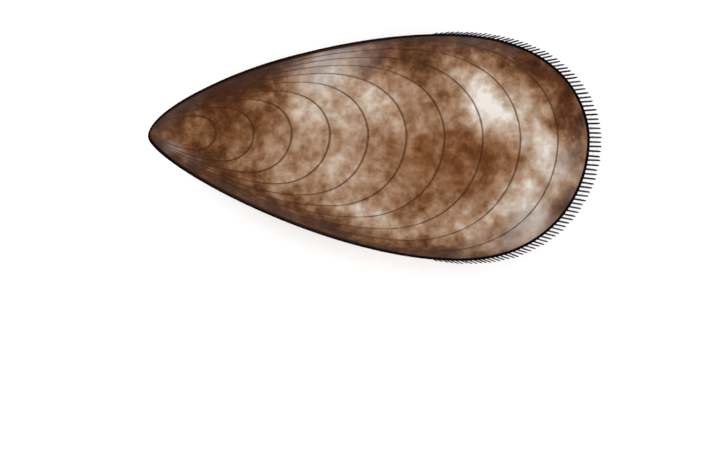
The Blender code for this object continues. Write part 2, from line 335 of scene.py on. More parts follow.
def valve_rings(seed):
    """Rings and poles of a left valve. Outside: dome + normal x relief, lifted by the lip's height and
    the groove's depth, which fade inwards as exp(-inset / fade). Hollow: the dome shrunk about a
    point on the seam."""
    smooth = dome(outer_ages)
    across = np.roll(smooth, -1, axis=1) - np.roll(smooth, 1, axis=1)
    outwards = np.gradient(smooth, axis=0)
    normal = np.cross(across, outwards)
    normal /= np.linalg.norm(normal, axis=2)[:, :, None]
    normal *= np.sign(normal[:, :, 2:3])
    outer = smooth + normal * relief(outer_ages, smooth, seed)[:, :, None]
    inset = (1 - outer_ages)[:, None] * margin_reach[None, :]
    outer[:, :, 2] += SEAM_HALF_GAP + LIP_HEIGHT[0] * np.exp(-inset / LIP_FADE)
    outer[:, :, 2] += groove * np.exp(-inset / GROOVE_FADE)
    lip_plan = margin[None] - LIP_INSET[1:, None, None] * margin_normal[None]
    lip_height = np.broadcast_to(SEAM_HALF_GAP + LIP_HEIGHT[1:, None] + groove, lip_plan.shape[:2])
    lip = np.concatenate([lip_plan, lip_height[:, :, None]], axis=2)
    hollow = HOLLOW_CENTRE + (dome(inner_ages) - HOLLOW_CENTRE) * HOLLOW_SHARE
    beak = dome([0.0])[0].mean(axis=0)
    poles = np.array([
        beak + [0, 0, SEAM_HALF_GAP + LIP_HEIGHT[0]],
        HOLLOW_CENTRE + (beak - HOLLOW_CENTRE) * HOLLOW_SHARE,
    ])
    return np.concatenate([outer, lip, hollow]), poles


# %% [markdown]
# ## Where the skin is worn, and where shade is painted
#
# The brown skin isn't even. Sand and weed rub it away on the high places and leave chalk showing,
# and it stays thick and dark in others. Along the dorsal flank near the beak and on the lower flank
# a few patches are painted shade instead, dark where the dome turns down. Wear belongs to one
# shell's life, so the patches are named one by one, in millimetres about the apex, and a swell
# bends their edges so that none is a plain oval. Fine mottling comes later, in the material.

# %% Patches of wear, of thick skin and of painted shade: x, y, half length, half width, turn in degrees, tone added
PATCHES = (
    ("bare chalk behind the crest", 56.8, 5.4, 5.0, 3.0, -62, 0.51),
    ("its upper end", 52.8, 9.4, 3.4, 2.2, -40, 0.18),
    ("its lower side", 55.8, 1.8, 2.8, 2.0, -30, 0.40),
    ("its tail to the rear", 61.6, 1.2, 5.2, 2.2, -42, 0.25),
    ("rubbed spot below the rear crest", 63.4, 5.2, 2.8, 2.2, -40, 0.22),
    ("rubbed rear band", 67.0, -5.0, 4.6, 3.6, 100, 0.36),
    ("dark spot below it", 65.8, -8.8, 2.3, 1.8, 0, -0.23),
    ("rubbed lower rear", 61.8, -13.2, 6.0, 3.2, 46, 0.44),
    ("thin skin at the lower rear margin", 65.4, -15.0, 4.6, 2.0, 46, 0.30),
    ("thin skin above the belly", 54.2, -15.6, 6.2, 2.5, 2, 0.27),
    ("thick skin at the ventral low", 50.6, -19.4, 5.2, 1.8, 2, -0.20),
    ("rubbed belly", 36.8, -14.6, 5.0, 2.2, -18, 0.27),
    ("rubbed patch behind the belly", 43.8, -17.4, 3.2, 2.0, 0, 0.28),
    ("rubbed middle", 33.2, -6.2, 6.8, 3.6, -8, 0.25),
    ("rubbed lower young shell", 20.6, -7.0, 4.6, 3.0, -50, 0.10),
    ("rubbed spot on the young shell", 21.8, -1.6, 2.6, 2.2, 0, 0.16),
    ("rubbed shoulder", 31.4, 9.8, 7.6, 2.8, 18, 0.26),
    ("rubbed streaks on the dorsal flank", 31.6, 12.0, 5.6, 1.7, 18, 0.20),
    ("below the shoulder", 28.2, 3.0, 4.8, 4.4, 0, 0.28),
    ("worn ridge", 37.4, 3.8, 5.8, 4.0, -20, 0.30),
    ("thick skin, middle rear", 54.2, -4.8, 7.6, 3.4, -6, -0.22),
    ("its front end", 47.6, -5.6, 4.4, 4.6, 0, -0.06),
    ("its lower end", 53.4, -10.4, 2.8, 3.0, 20, -0.05),
    ("rubbed spot behind it", 59.0, -9.6, 2.8, 2.4, 30, 0.22),
    ("thick skin below the crest", 41.8, 12.2, 7.6, 2.8, 8, -0.28),
    ("its lower side", 46.6, 8.8, 3.0, 2.2, -20, -0.16),
    ("thick skin above the bare chalk", 61.0, 11.0, 4.8, 2.4, -26, -0.22),
    ("thick skin at the crest", 55.5, 15.0, 6.0, 1.7, -8, -0.20),
    ("thick skin, upper rear margin", 66.8, 10.2, 7.4, 2.6, -46, -0.31),
    ("thick skin, rear margin", 71.0, 1.9, 5.4, 2.7, -80, -0.34),
    ("thick skin, lower rear margin", 69.8, -12.0, 3.2, 2.0, 58, -0.41),
    ("thick skin, young shell", 14.4, 2.6, 8.0, 5.2, 14, -0.29),
    ("thick skin, beak", 4.6, 3.0, 5.4, 2.0, 30, -0.27),
    ("thick skin under the beak", 10.2, -5.0, 7.2, 2.6, -28, -0.26),
    # Painted shade: a dark band along the lower flank near the margin, where the dome turns down.
    ("painted shade on the lower flank", 27.6, -14.9, 9.0, 2.0, -26, -0.15),
    ("thick skin before the belly", 47.2, -13.0, 2.6, 2.0, -20, -0.10),
    ("dark notch in the lower rear", 60.0, -16.4, 2.8, 2.0, 20, -0.36),
    # Painted shade: dark bands along the dorsal flank near the beak, where the dome turns down.
    ("painted shade on the dorsal flank", 14.5, 7.4, 9.0, 2.4, 30, -0.24),
    ("painted shade, its rear end", 20.4, 9.0, 4.2, 2.6, 24, -0.15),
)
print(len(PATCHES), "patches of wear and of thick skin")

# %% Patches of grey haze, above zero, and of rust-brown stain, below zero: the same columns
HAZE_PATCHES = (
    ("smoky beak", 4.6, 3.0, 5.4, 1.8, 30, 0.17),
    ("blue-grey under the beak", 4.0, -3.4, 3.0, 1.1, -35, 0.60),
    ("grey flank streaks", 30.6, 11.9, 5.8, 1.9, 18, 1.00),
    ("grey shoulder", 31.8, 9.4, 5.4, 2.4, 18, 0.42),
    ("grey lower rear", 64.4, -15.2, 4.6, 2.6, 42, 0.85),
    ("grey rear band", 69.6, -5.8, 3.8, 2.4, 100, 0.56),
    ("grey rear margin", 73.0, -6.0, 6.0, 1.8, 82, 0.20),
    ("grey ventral low", 57.6, -19.4, 6.0, 2.0, 12, 0.35),
    ("grey belly", 36.0, -15.4, 6.0, 1.8, -22, 0.08),
    ("grey crest", 55.5, 14.8, 6.5, 1.6, -8, 0.16),
    ("rust-brown middle", 51.0, -5.6, 13.0, 8.0, -4, -0.26),
    ("rust-brown young shell", 15.0, 1.4, 9.0, 5.0, 6, -0.14),
    ("rust-brown rear crest", 66.0, 9.0, 6.0, 3.0, -48, -0.06),
)
PATCH_BEND = 0.9
BEND_LENGTH = 10.0
print(len(HAZE_PATCHES), "patches of haze and stain")


def patch_field(points, patches, seed):
    """Sum of soft ovals: strength x exp(-(distance in half widths)^2), read at points that the
    swell has pushed about by a millimetre or so."""
    bend = [swell(points, BEND_LENGTH, seed + axis) for axis in (0, 1)]
    bent = points[..., :2] + PATCH_BEND * np.stack(bend, axis=-1)
    total = np.zeros(points.shape[:-1])
    for _, x, y, half_length, half_width, turn, strength in patches:
        dx, dy = bent[..., 0] - x, bent[..., 1] - y
        c, s = math.cos(math.radians(turn)), math.sin(math.radians(turn))
        along, across = (dx * c + dy * s) / half_length, (dy * c - dx * s) / half_width
        total += strength * np.exp(-(along**2 + across**2))
    return total


# %% [markdown]
# ## The flanks and the rim
#
# Two things follow the margin instead of lying in patches. Painted shade darkens the skin along the
# flanks near the margin, where the dome turns down steeply. And a rim of black horn rolls over the
# edge: seen from above it is widest on the flanks, where the shell turns down steeply, and narrower
# round the rear.

# %% Painted shade on the flanks, and the width of the rim
# Painted shade: how dark the flanks are painted at the margin, how fast it fades inwards, and where it
# ends.
FLANK_SHADE_DARKNESS = -0.40
FLANK_SHADE_WIDTH = 3.0
FLANK_SHADE_REACH = (16.0, 58.0)
RIM_WIDTH = 0.60
RIM_THINNER = 0.16
RIM_REACH = (9.0, 17.0)


def painted_flank_shade(inset):
    """Painted shade along the flanks near the margin, where the dome turns down: tone x exp(-inset /
    width), none at the rounded end, where the reach is large."""
    flank = 1 - smooth_step(*FLANK_SHADE_REACH, margin_reach[None, :])
    return FLANK_SHADE_DARKNESS * np.exp(-inset / FLANK_SHADE_WIDTH) * flank


def rim_share(inset):
    """Distance in from the margin over the rim's width there: 1 at the rim's inner side. The width
    falls by its last part as the reach grows."""
    return inset / (RIM_WIDTH - RIM_THINNER * smooth_step(*RIM_REACH, margin_reach[None, :]))


print(f"rim: {RIM_WIDTH:.2f} mm wide on the flanks, {RIM_WIDTH - RIM_THINNER:.2f} mm elsewhere")

# %% What each vertex of a valve remembers
WEAR_AND_SHADE_SEED, HAZE_SEED = 10, 20
LIP_FOOT = 2
STEEPEST = 6
NO_STEP_IN = 1e-4


def valve_fields(rings, seed):
    """age and, by column, reach and length along the margin; skin, the length of surface up from the
    lip's foot; stretch, the surface that lies over each mm of plan; rim, wear with painted shade,
    and haze as above."""
    ages = np.concatenate([outer_ages, np.ones(len(LIP_INSET) - 1), inner_ages])[:, None]
    inset = (1 - ages) * margin_reach[None, :]
    steps = np.linalg.norm(np.diff(rings, axis=0), axis=2)
    foot = steps[:len(outer_ages) + LIP_FOOT].sum(axis=0)
    up = np.abs(np.cumsum(steps, axis=0) - foot)
    skin = np.vstack([up[:1], up])
    inwards = np.gradient(inset, axis=0)
    stretch = np.abs(np.gradient(skin, axis=0) / np.where(np.abs(inwards) < NO_STEP_IN, 1, inwards))
    return {
        "age": np.broadcast_to(ages, rings.shape[:2]),
        "reach": np.broadcast_to(margin_reach[None, :], rings.shape[:2]),
        "along": np.broadcast_to(margin_length[None, :], rings.shape[:2]),
        "skin": skin,
        "stretch": np.clip(stretch, 1, STEEPEST),
        "rim": rim_share(inset),
        # Wear and thick skin from the patches, some of them painted shade, plus painted shade along the
        # flanks.
        "wear_and_painted_shade": patch_field(rings, PATCHES, seed + WEAR_AND_SHADE_SEED) + painted_flank_shade(inset),
        "haze": patch_field(rings, HAZE_PATCHES, seed + HAZE_SEED),
    }


# %% Make both valves
SKIN_SLOT, NACRE_SLOT, HORN_SLOT = 0, 1, 2
ROLLED_UP_MM = 6
FIRST_INNER_ROW = len(outer_ages) + len(LIP_INSET) - 2
LEFT_SEED, RIGHT_SEED = 11, 47


def slot_faces(valve, rim, skin):
    """Horn on the rolled edge, where the rows on both sides of a face lie inside the rim; nacre on
    the hollow, with the fan that closes it; skin on the rest."""
    horn = (rim < 1) & (skin < ROLLED_UP_MM)
    horn = horn[:-1] & horn[1:]
    slots = np.where(np.concatenate([horn.ravel(), np.zeros(2 * COLUMNS, bool)]), HORN_SLOT, SKIN_SLOT)
    band = np.arange(len(slots)) // COLUMNS
    opening_fan = band[-1] - 1
    slots[(band >= FIRST_INNER_ROW) & (band != opening_fan)] = NACRE_SLOT
    valve.data.polygons.foreach_set("material_index", slots.astype(np.int32))


def make_valve(name, side, seed):
    """A valve on its side of the seam (1 left, -1 right). The right one is mirrored, with its columns
    in the other order so that its faces still point out."""
    rings, poles = valve_rings(seed)
    order = slice(None) if side > 0 else slice(None, None, -1)
    mirror = np.array([1, 1, side])
    piece = closed_skins(name, (rings * mirror)[None, :, order], (poles * mirror)[None])
    fields = {field: values[:, order] for field, values in valve_fields(rings, seed).items()}
    for field, values in fields.items():
        remember(piece, field, np.r_[values.ravel(), values[0].mean(), values[-1].mean()])
    slot_faces(piece, fields["rim"], fields["skin"])
    return piece


left_valve = make_valve("left_valve_skin", 1, LEFT_SEED)
right_valve = make_valve("right_valve_skin", -1, RIGHT_SEED)

# %% [markdown]
# ## The ligament
#
# A strip of springy brown horn joins the valves along the dorsal edge behind the beak, and pushes
# them open when the animal relaxes. It is laid down in layers, so it shows fine lengthwise lines.
# A curve with a bevel would be a plain tube, so this is a ribbed oval profile carried along the
# margin, thinning to both ends.

# %% The ligament strip
LIGAMENT_INSET = 0.30
LIGAMENT_HALF_WIDTH = 0.40
LIGAMENT_END_GAP = 0.15
LIGAMENT_FIT = 0.94
LIGAMENT_THINNEST = 0.12
LIGAMENT_RIBS = 7
LIGAMENT_RIB_HEIGHT = 0.05
LIGAMENT_ROWS, LIGAMENT_COLUMNS = 160, 40
LIGAMENT_MARGIN_POINTS = 2400


def make_ligament(name):
    """Oval rings square to the margin: half width x cos, half height x sin, both x taper x ribs."""
    x = np.linspace(LIGAMENT_START + LIGAMENT_END_GAP, LIGAMENT_END - LIGAMENT_END_GAP, LIGAMENT_ROWS)
    fine, fine_normal, _, _ = outline(LIGAMENT_MARGIN_POINTS)
    dorsal = np.flatnonzero((fine[:, 1] > 0) & (fine[:, 0] < DORSAL_CREST[0]))
    dorsal = dorsal[np.argsort(fine[dorsal, 0])]
    facing = [np.interp(x, fine[dorsal, 0], fine_normal[dorsal, axis]) for axis in (0, 1)]
    facing = np.column_stack(facing)
    facing /= np.linalg.norm(facing, axis=1)[:, None]
    edge = np.column_stack([x, np.interp(x, fine[dorsal, 0], fine[dorsal, 1])])
    centre = edge - facing * LIGAMENT_INSET
    turn = np.linspace(0, 2 * np.pi, LIGAMENT_COLUMNS, endpoint=False)
    taper = LIGAMENT_THINNEST + (1 - LIGAMENT_THINNEST) * ligament_share(x)[:, None]
    ribs = 1 + LIGAMENT_RIB_HEIGHT * np.cos(LIGAMENT_RIBS * turn)[None, :]
    out = LIGAMENT_HALF_WIDTH * taper * ribs * np.cos(turn)
    up = LIGAMENT_HALF_HEIGHT * LIGAMENT_FIT * taper * ribs * np.sin(turn)
    plan = centre[:, None] + facing[:, None] * out[:, :, None]
    rings = np.concatenate([plan, up[:, :, None]], axis=2)
    ends = np.column_stack([centre[[0, -1]], [0, 0]])
    return closed_skins(name, rings[None, :, ::-1], ends[None])


ligament = make_ligament("ligament_strip")

# %% [markdown]
# ## The bristles
#
# The beard is made of hairs of the horny skin, about 2 mm long, rooted in the margin of each valve.
# They stand side by side, lean to the rear, fan only a little with the margin, and are shorter and
# thinner at the fringe's two ends. Hair particles would be quick, but each hair is its own thin
# tapered skin here, so that it is real shape from every side. The two rows lie over each other seen
# from above and part a little seen from the edge.

# %% Where the bristles root
BRISTLE_FROM = 47.4
BRISTLE_PITCH = 0.775
BRISTLE_PITCH_SCATTER = 0.03
BRISTLE_MARGIN_POINTS = 3000


def bristle_roots(draw):
    """Margin points a pitch apart, with a little scatter, and the outward directions there."""
    fine, fine_normal, _, along = outline(BRISTLE_MARGIN_POINTS)
    fringe = along[fine[:, 0] >= BRISTLE_FROM]
    count = round((fringe[-1] - fringe[0]) / BRISTLE_PITCH)
    marks = np.linspace(fringe[0], fringe[-1], count)
    marks[1:-1] += draw.uniform(-BRISTLE_PITCH_SCATTER, BRISTLE_PITCH_SCATTER, count - 2)
    root = np.column_stack([np.interp(marks, along, fine[:, axis]) for axis in (0, 1)])
    facing = np.column_stack([np.interp(marks, along, fine_normal[:, axis]) for axis in (0, 1)])
    return root, facing


# %% How long a bristle is
BRISTLE_LENGTH = 1.90
BRISTLE_LENGTH_SCATTER = (0.93, 1.03)
BRISTLE_END_LENGTH = 0.78
BRISTLE_RUN_IN = 3
BRISTLE_FIRST_LENGTH = 0.7


def bristle_lengths(draw, ends):
    """Full length x scatter, less a share towards the fringe's ends, and shorter still for the first
    few hairs from each end. ends is 0 at the rear and 1 where the margin runs fore and aft."""
    scatter = draw.uniform(*BRISTLE_LENGTH_SCATTER, len(ends))
    length = BRISTLE_LENGTH * scatter * (1 - (1 - BRISTLE_END_LENGTH) * ends)
    from_end = np.minimum(np.arange(len(ends)), np.arange(len(ends))[::-1])
    run_in = smooth_step(0, BRISTLE_RUN_IN, from_end)
    return length * (BRISTLE_FIRST_LENGTH + (1 - BRISTLE_FIRST_LENGTH) * run_in)


# %% The skin of every hair at once
BRISTLE_ROOT_DEPTH = 0.35
BRISTLE_ROOT_INSET = 0.21
BRISTLE_ROOT_HEIGHT = 0.26
BRISTLE_DROOP = 0.10
BRISTLE_RADIUS = 0.17
BRISTLE_END_RADIUS = 0.68
BRISTLE_TAPER = 0.15
BRISTLE_TIP_RADIUS = 0.75
BRISTLE_TIP = 0.04
BRISTLE_ROWS, BRISTLE_COLUMNS = 7, 6


def hair_rings(start, heading, lift, length, ends):
    """Centre line = start + direction x length x t, drooped by t^2; radius = full radius x (1 - taper
    x t^2), thinner towards the fringe's ends, and it closes in a rounded tip."""
    t = np.linspace(0, 1, BRISTLE_ROWS)
    direction = np.column_stack([
        np.cos(heading) * np.cos(lift), np.sin(heading) * np.cos(lift), np.sin(lift)])
    line = start[:, None] + direction[:, None] * (length[:, None] * t)[:, :, None]
    line[:, :, 2] -= BRISTLE_DROOP * t**2
    radius = BRISTLE_RADIUS * (1 - BRISTLE_TAPER * t**2)
    radius[-1] *= BRISTLE_TIP_RADIUS
    radius = radius[None, :] * (1 - (1 - BRISTLE_END_RADIUS) * ends)[:, None]
    sideways = np.column_stack([-np.sin(heading), np.cos(heading), np.zeros(len(ends))])
    upwards = np.cross(direction, sideways)
    turn = np.linspace(0, 2 * np.pi, BRISTLE_COLUMNS, endpoint=False)[None, :, None]
    spokes = sideways[:, None] * np.cos(turn) + upwards[:, None] * np.sin(turn)
    rings = line[:, :, None] + spokes[:, None] * radius[:, :, None, None]
    return rings, np.stack([line[:, 0], line[:, -1] + direction * BRISTLE_TIP], axis=1)


# %% Make both fringes
BRISTLE_SEED = 5
BRISTLE_TURN = 0.23
BRISTLE_LEAN = -2.0
BRISTLE_LEAN_SCATTER = 1.0
BRISTLE_LIFT = (2, 13)
BRISTLE_END_POWER = 2.5
BRISTLE_END_PALER = 0.65


def make_bristles(name, side):
    """One valve's fringe. Heading = turn x the margin's own direction, plus a lean; the hairs near the
    fringe's ends are paler, for the material to read as shade."""
    draw = np.random.default_rng(BRISTLE_SEED)
    root, facing = bristle_roots(draw)
    count = len(root)
    bearing = np.arctan2(facing[:, 1], facing[:, 0])
    lean = draw.normal(0, BRISTLE_LEAN_SCATTER, count) + BRISTLE_LEAN
    lift = np.radians(draw.uniform(*BRISTLE_LIFT, count))
    ends = (np.abs(bearing) / (np.pi / 2)) ** BRISTLE_END_POWER
    length = bristle_lengths(draw, ends) + BRISTLE_ROOT_DEPTH
    height = np.full(count, BRISTLE_ROOT_HEIGHT)
    start = np.column_stack([root - facing * BRISTLE_ROOT_INSET, height])
    heading = BRISTLE_TURN * bearing + np.radians(lean)
    rings, poles = hair_rings(start, heading, lift, length, ends)
    mirror = np.array([1, 1, side])
    order = slice(None, None, -1) if side > 0 else slice(None)
    piece = closed_skins(name, (rings * mirror)[:, :, order], poles * mirror)
    paleness = draw.uniform(0, 1, count) + BRISTLE_END_PALER * ends
    shade = np.broadcast_to(paleness[:, None], (count, BRISTLE_ROWS * BRISTLE_COLUMNS + 2))
    remember(piece, "shade", shade)
    print(f"{name}: {count} bristles")
    return piece


left_bristles = make_bristles("left_bristle_fringe", 1)
right_bristles = make_bristles("right_bristle_fringe", -1)

# %% [markdown]
# ## Materials
#
# Colours are picked as sRGB hex values and turned to linear light, which the shaders work in. One
# small function adds a node, sets it and links it. Patterns read Object coordinates, scaled to
# millimetres so that each size below is a real one, or the ages and reaches that the mesh remembers.


# %% Colours and one way to add a node
def linear(hex_colour):
    """sRGB hex to linear RGBA: c / 12.92 near black, ((c + 0.055) / 1.055) ^ 2.4 above."""
    parts = [int(hex_colour[i:i + 2], 16) / 255 for i in (1, 3, 5)]
    return tuple(c / 12.92 if c <= 0.04045 else ((c + 0.055) / 1.055) ** 2.4 for c in parts) + (1.0,)


def feed(tree, node, inputs):
    """Sets each socket to its value, or links it to the output that feeds it. A node in place of an
    output means its first one, and a pair of sockets takes a pair of values."""
    for name, value in inputs.items():
        if isinstance(name, tuple):
            feed(tree, node, dict(zip(name, value)))
        elif isinstance(value, bpy.types.NodeSocket):
            tree.links.new(value, node.inputs[name])
        elif isinstance(value, bpy.types.Node):
            tree.links.new(value.outputs[0], node.inputs[name])
        else:
            node.inputs[name].default_value = value


def add(tree, kind, inputs=None, stops=(), **settings):
    """Adds a shader node. settings are its properties, inputs are for its sockets, and stops are a
    colour ramp's places and colours."""
    node = tree.nodes.new("ShaderNode" + kind)
    for name, value in settings.items():
        setattr(node, name, value)
    feed(tree, node, inputs or {})
    for i, (place, colour) in enumerate(stops):
        ramp = node.color_ramp.elements
        stop = ramp[i] if i < len(ramp) else ramp.new(place)
        stop.position, stop.color = place, linear(colour)
    return node


def new_material(name):
    """An empty material, its node tree, and Object coordinates in mm."""
    material = bpy.data.materials.new(name)
    material.use_nodes = True
    tree = material.node_tree
    place = add(tree, "TexCoord").outputs["Object"]
    return material, tree, add(tree, "VectorMath", {0: place, 1: (1 / MM,) * 3}, operation="MULTIPLY")


def coat(material, inputs):
    """Feeds the material's Principled BSDF, and gives the material back."""
    tree = material.node_tree
    feed(tree, tree.nodes["Principled BSDF"], inputs)
    print(f"{material.name}: {len(tree.nodes)} nodes")
    return material


# A Mix node has sockets for every kind of value. These are its two colours and its mixed colour.
MIX_A, MIX_B, MIXED = 6, 7, 2
# A Map Range node takes values from one range to another.
FROM, TO = ("From Min", "From Max"), ("To Min", "To Max")

# %% [markdown]
# ### Horny skin over chalk
#
# The skin, or periostracum, is hardened protein, like thin brown horn, over matt chalk. It is dark
# where it is thick, tan where it is thin and whitish where it is gone. One tone field says which:
# the stored wear with its painted shade along the flanks, plus clouds of four sizes, plus streaks
# along the growth lines. A picture could hold the blotches, but noise at real sizes covers both
# valves and stays sharp from close by.

# %% The tone of the skin, from 0, thick and dark or painted shade, to 1, bare chalk
CLOUD_MM = (8.0, 3.6, 1.6, 0.6)
CLOUD_WEIGHT = (0.20, 0.35, 0.34, 0.10)
CLOUD_SQUASH = (1.0, 1.0, 0.45)
TONE_MIDDLE = 0.425
TONE_FLOOR = 0.3
STREAK_MM = 9.0
STREAKS_PER_STEP = 1.6
STREAK_REACH = (6.0, 30.0)
STREAK_STRENGTH = (0.3, 0.08)


def skin_tone(tree, mm, fields, phase, seed):
    """Middle tone + wear and painted shade + each cloud less its mean x twice its weight + streaks,
    ending softly at 0. The clouds are drawn out down the steep flanks, and the streaks are strongest
    where rings crowd."""
    flat = add(tree, "VectorMath", {0: mm, 1: CLOUD_SQUASH}, operation="MULTIPLY")
    # The stored field holds wear and thick skin, and painted shade along the flanks.
    tone = add(tree, "Math", {0: fields["wear_and_painted_shade"], 1: TONE_MIDDLE}, operation="ADD")
    for size, weight in zip(CLOUD_MM, CLOUD_WEIGHT):
        cloud = add(tree, "TexNoise", {"Vector": flat, "W": seed + size, "Scale": 1 / size, "Detail": 3.0,
                                       "Roughness": 0.55}, noise_dimensions="4D")
        centred = add(tree, "Math", {0: cloud, 1: 0.5}, operation="SUBTRACT")
        tone = add(tree, "Math", {0: centred, 1: weight * 2, 2: tone}, operation="MULTIPLY_ADD")
    slow = add(tree, "Math", {0: fields["along"], 1: 1 / STREAK_MM}, operation="MULTIPLY")
    lane = add(tree, "Math", {0: phase, 1: STREAKS_PER_STEP}, operation="MULTIPLY")
    lanes = add(tree, "CombineXYZ", {"X": lane, "Y": slow, "Z": float(seed)})
    streak = add(tree, "TexNoise", {"Vector": lanes, "Scale": 1.0, "Detail": 3.0, "Roughness": 0.6})
    streak = add(tree, "Math", {0: streak, 1: 0.5}, operation="SUBTRACT")
    strength = add(tree, "MapRange", {
        "Value": fields["reach"], FROM: STREAK_REACH, TO: STREAK_STRENGTH})
    streak = add(tree, "Math", {0: streak, 1: strength}, operation="MULTIPLY")
    tone = add(tree, "Math", {0: tone, 1: streak}, operation="ADD")
    return add(tree, "Math", {0: tone, 1: 0.0, 2: TONE_FLOOR}, operation="SMOOTH_MAX")


# %% [markdown]
# Thick skin is laid down in thin layers, whose edges show as fine lines along the rings. In places
# the chalk shines bluish grey through the skin, and in others the horn is stained rust-brown.

# %% The colour of the skin: ramp, layers, stain and haze
SKIN_STOPS = (
    (0.00, "#2C150A"),
    (0.16, "#4E2E19"),
    (0.29, "#67452C"),
    (0.44, "#83634A"),
    (0.60, "#9B816C"),
    (0.81, "#B8AA9C"),
    (1.00, "#D2CCC5"),
)
LAYERS_PER_STEP = 15.0
LAYER_LENGTH_MM = 3.0
LAYER_CONTRAST = 0.45
NOISE_RANGE = (0.3, 0.7)
THICK_TONE = (0.05, 0.40)
STAIN_COLOUR = "#804A22"
HAZE_COLOUR = "#938B88"
HAZE_GRAIN_MM = 2.2
HAZE_GAIN = 1.3


def skin_layers(tree, fields, phase):
    """Fine layers: noise on growth steps x layers per step, and on length along the margin."""
    lane = add(tree, "Math", {0: phase, 1: LAYERS_PER_STEP}, operation="MULTIPLY")
    slow = add(tree, "Math", {0: fields["along"], 1: 1 / LAYER_LENGTH_MM}, operation="MULTIPLY")
    lanes = add(tree, "CombineXYZ", {"X": lane, "Y": slow, "Z": 3.0})
    return add(tree, "TexNoise", {"Vector": lanes, "Scale": 1.0, "Detail": 2.0})


def skin_colour(tree, mm, fields, tone, layers):
    """Ramp by tone, x (1 + layers x contrast) in thick skin, then stain by -haze, then grey by haze x
    grain."""
    colour = add(tree, "ValToRGB", {"Fac": tone}, SKIN_STOPS)
    layer = add(tree, "MapRange", {
        "Value": layers, FROM: NOISE_RANGE, TO: (-LAYER_CONTRAST, LAYER_CONTRAST)})
    thick = add(tree, "MapRange", {"Value": tone, FROM: THICK_TONE, TO: (1.0, 0.0)})
    shown = add(tree, "Math", {0: layer, 1: thick, 2: 1.0}, operation="MULTIPLY_ADD")
    colour = add(tree, "VectorMath", {0: colour, "Scale": shown}, operation="SCALE")
    stain = add(tree, "Math", {0: fields["haze"], 1: -1.0}, operation="MULTIPLY", use_clamp=True)
    colour = add(tree, "Mix", {0: stain, MIX_A: colour, MIX_B: linear(STAIN_COLOUR)},
                 data_type="RGBA").outputs[MIXED]
    grain = add(tree, "TexNoise", {"Vector": mm, "Scale": 1 / HAZE_GRAIN_MM, "Detail": 3.0})
    veil = add(tree, "Math", {0: fields["haze"], 1: grain}, operation="MULTIPLY")
    veil = add(tree, "Math", {0: veil, 1: HAZE_GAIN}, operation="MULTIPLY", use_clamp=True)
    return add(tree, "Mix", {0: veil, MIX_A: colour, MIX_B: linear(HAZE_COLOUR)},
               data_type="RGBA").outputs[MIXED]


# %% [markdown]
# A growth line is a fine dark crack in the skin. On a slope it covers more surface for each
# millimetre of plan, so its width grows with a part of that stretch, and it fades where the lines
# crowd together. A black horny edge then covers whatever lies inside the rim, and the foot of the
# valve's side, so that it shows from above and from the side.

# %% Growth lines and the rolled edge, painted over the skin
LINE_COLOUR = "#3A1F10"
LINE_EDGES_MM = (0.074, 0.2775)
LINE_DARKNESS = 0.76
LINE_STRETCH = 0.4
LINES_BEGIN = -0.5
EDGE_COLOUR = "#050404"
RIM_DARKNESS = 0.94
RIM_EDGES = (0.85, 1.25)
SIDE_EDGES_MM = (0.935, 1.375)


def paint_lines(tree, fields, phase, spacing, room, colour):
    """Distance to the nearest line = growth steps to it x spacing x stretch ^ power, and the line's
    strength falls with it from its darkness to 0."""
    steps = add(tree, "Math", {0: phase, 1: 0.5}, operation="PINGPONG")
    distance = add(tree, "Math", {0: steps, 1: spacing}, operation="MULTIPLY")
    stretch = add(tree, "Math", {0: fields["stretch"], 1: LINE_STRETCH}, operation="POWER")
    distance = add(tree, "Math", {0: distance, 1: stretch}, operation="MULTIPLY")
    line = add(tree, "MapRange", {"Value": distance, FROM: LINE_EDGES_MM, TO: (LINE_DARKNESS, 0.0)},
               interpolation_type="SMOOTHSTEP")
    begun = add(tree, "Math", {0: phase, 1: LINES_BEGIN}, operation="GREATER_THAN")
    for share in (room, begun):
        line = add(tree, "Math", {0: line, 1: share}, operation="MULTIPLY")
    return add(tree, "Mix", {0: line, MIX_A: colour, MIX_B: linear(LINE_COLOUR)},
               data_type="RGBA").outputs[MIXED]


def paint_edge(tree, fields, colour):
    """Black by distance in from the margin over the rim's width, and by length of skin up the side."""
    for field, edges, most in (("rim", RIM_EDGES, RIM_DARKNESS), ("skin", SIDE_EDGES_MM, 1.0)):
        edge = add(tree, "MapRange", {"Value": fields[field], FROM: edges, TO: (most, 0.0)},
                   interpolation_type="SMOOTHSTEP")
        colour = add(tree, "Mix", {0: edge, MIX_A: colour, MIX_B: linear(EDGE_COLOUR)},
                     data_type="RGBA").outputs[MIXED]
    return colour


# %% [markdown]
# Wet or polished, a mussel's skin shines like varnish. This one is dry and silted, so it has hardly
# any gloss, and bare chalk is rougher still. Layers and pores give it a fine bump.

# %% The skin's material
FIELDS = ("age", "reach", "along", "wear_and_painted_shade", "haze", "skin", "stretch", "rim")
PORE_MM = 0.45
FULL_SPACING_MM = 0.7
ROUGHNESS = (0.60, 0.85)
HORN_IOR = 1.54
SILTED_GLOSS = 0.03


